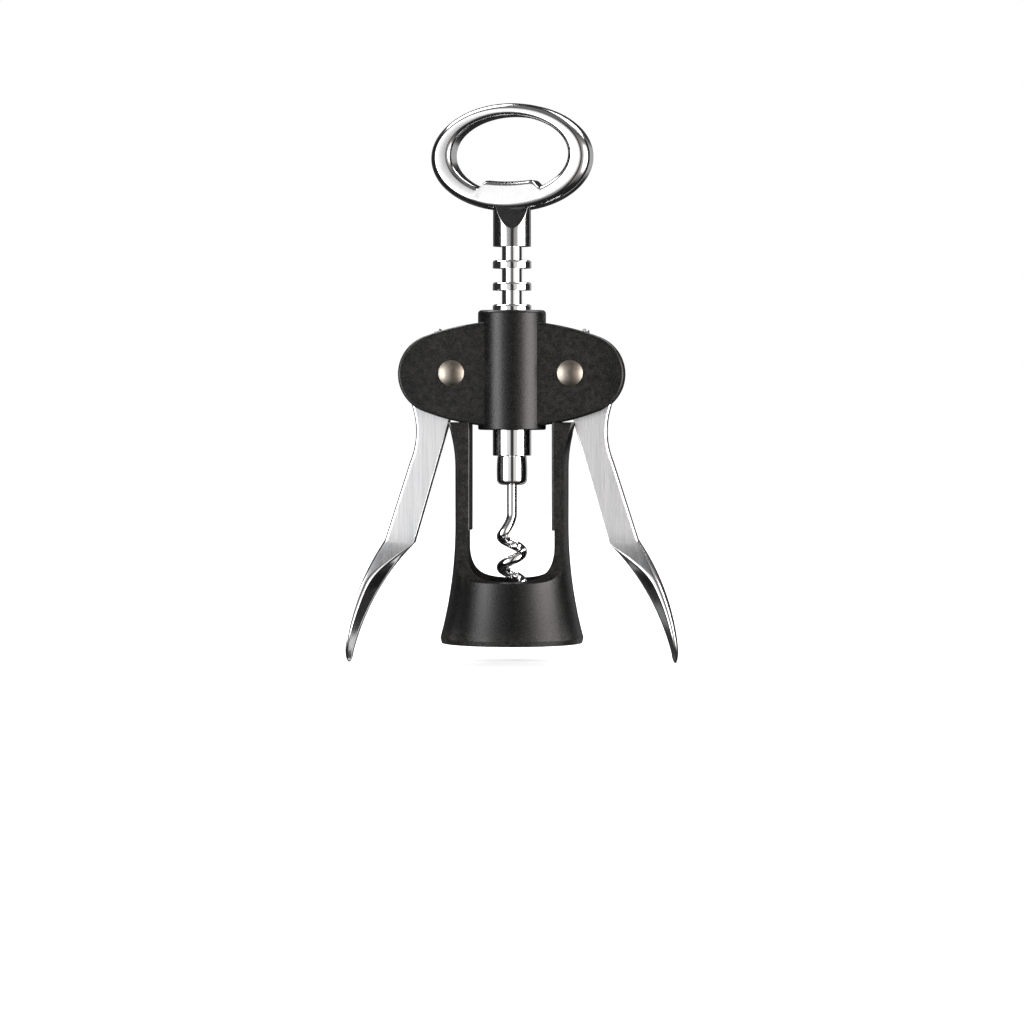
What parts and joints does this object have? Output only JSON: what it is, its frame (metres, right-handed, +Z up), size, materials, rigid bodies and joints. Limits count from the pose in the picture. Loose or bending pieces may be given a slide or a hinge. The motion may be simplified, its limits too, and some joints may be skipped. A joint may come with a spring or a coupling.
{
  "type": "lever corkscrew",
  "caption": "Lever corkscrew with a bottle bell, two toothed levers that swing up as a grooved rack and its worm go down, and a ring handle with a cap lifter.",
  "frame": {"origin": "on the worm's axis, in the mouth plane of the bottle bell", "axes": "+Z up the worm's axis towards the handle, +X to the right lever, -Y to the front"},
  "size_m": [0.0974, 0.041, 0.1594],
  "materials": {
    "black_body": "fine-grained satin black",
    "lever_metal": "bright, brushed along the arm",
    "rivet_nickel": "warm nickel, turned",
    "rack_chrome": "polished",
    "handle_chrome": "polished casting",
    "worm_chrome": "polished wire"
  },
  "bodies": {
    "frame": {"frame": "black_body", "left_rivet_sleeve": "rivet_nickel", "left_rivet_pin": "rivet_nickel", "right_rivet_sleeve": "rivet_nickel", "right_rivet_pin": "rivet_nickel"},
    "left_lever": {"left_lever": "lever_metal"},
    "right_lever": {"right_lever": "lever_metal"},
    "rack": {"rack_spindle": "rack_chrome"},
    "screw": {"handle": "handle_chrome", "worm": "worm_chrome", "worm_ferrule": "rack_chrome"}
  },
  "joints": [
    {"name": "left_lever_swing", "type": "hinge", "parent": "frame", "child": "left_lever", "pos_m": [-0.0169, 0, 0.0771], "axis": [0, 1, 0], "range_deg": [0, 142]},
    {"name": "right_lever_swing", "type": "hinge", "parent": "frame", "child": "right_lever", "pos_m": [0.0169, 0, 0.0771], "axis": [0, -1, 0], "range_deg": [0, 142.1]},
    {"name": "rack_slide", "type": "slide", "parent": "frame", "child": "rack", "axis": [0, 0, -1], "range_m": [0, 0.0281]},
    {"name": "screw_spin", "type": "hinge", "parent": "rack", "child": "screw", "pos_m": [0, 0, 0.08], "axis": [0, 0, -1], "continuous": true}
  ],
  "couplings": [
    {"joint": "right_lever_swing", "follows": "left_lever_swing", "ratio": 1},
    {"joint": "rack_slide", "follows": "left_lever_swing", "m_per_rad": 0.0113}
  ]
}
